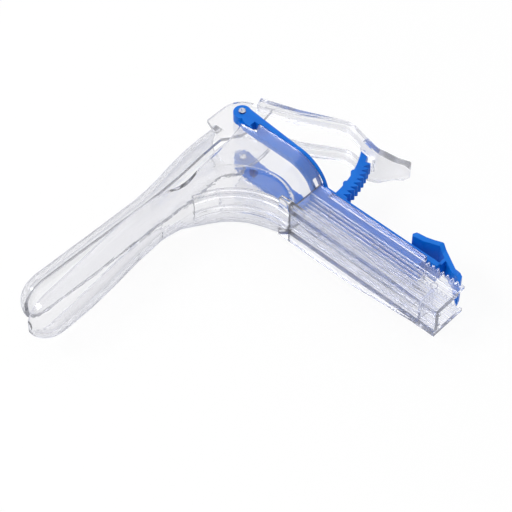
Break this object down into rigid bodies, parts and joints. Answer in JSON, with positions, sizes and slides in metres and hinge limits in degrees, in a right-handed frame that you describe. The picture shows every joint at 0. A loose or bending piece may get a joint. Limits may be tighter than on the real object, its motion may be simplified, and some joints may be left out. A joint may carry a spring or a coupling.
{
  "type": "bivalve speculum",
  "caption": "Disposable bivalve speculum: clear duck-bill blades and handle, a thumb lever that opens the upper blade, and a blue yoke with slide, toothed arc and release catch.",
  "frame": {"origin": "middle of the handle's flat front face, on the plane of symmetry, with the instrument lying on its side", "axes": "+Z is the lateral axis of the instrument and points up as it lies, the blades point along -X, the handle along -Y, and the thumb lever lies at +X"},
  "size_m": [0.1667, 0.1349, 0.0356],
  "materials": {
    "clear_body": "gloss moulded clear polystyrene",
    "clear_top": "gloss moulded clear polystyrene",
    "blue_yoke": "satin moulded blue plastic",
    "blue_moving": "satin moulded blue plastic"
  },
  "bodies": {
    "base": {"lower_blade": "clear_body", "handle": "clear_body"},
    "yoke_body": {"yoke": "blue_yoke", "slide": "blue_yoke"},
    "upper_body": {"upper_blade": "clear_top", "thumb_lever": "clear_top"},
    "ratchet_body": {"ratchet_arc": "blue_moving"},
    "catch_body": {"release_catch": "blue_moving"}
  },
  "joints": [
    {"name": "yoke_slide", "type": "slide", "parent": "base", "child": "yoke_body", "axis": [0, 1, 0], "range_m": [0, 0.0145]},
    {"name": "blade_hinge", "type": "hinge", "parent": "yoke_body", "child": "upper_body", "pos_m": [0.0215, 0.08485, 0], "axis": [0, 0, 1], "range_deg": [-25, 0]},
    {"name": "ratchet_flex", "type": "hinge", "parent": "yoke_body", "child": "ratchet_body", "pos_m": [0.0219, 0.03065, 0], "axis": [0, 0, 1], "range_deg": [0, 4], "stiffness_Nm_per_rad": 0.5},
    {"name": "catch_flex", "type": "hinge", "parent": "yoke_body", "child": "catch_body", "pos_m": [0.0219, -0.02225, 0], "axis": [0, 0, 1], "range_deg": [0, 7], "stiffness_Nm_per_rad": 0.5}
  ]
}
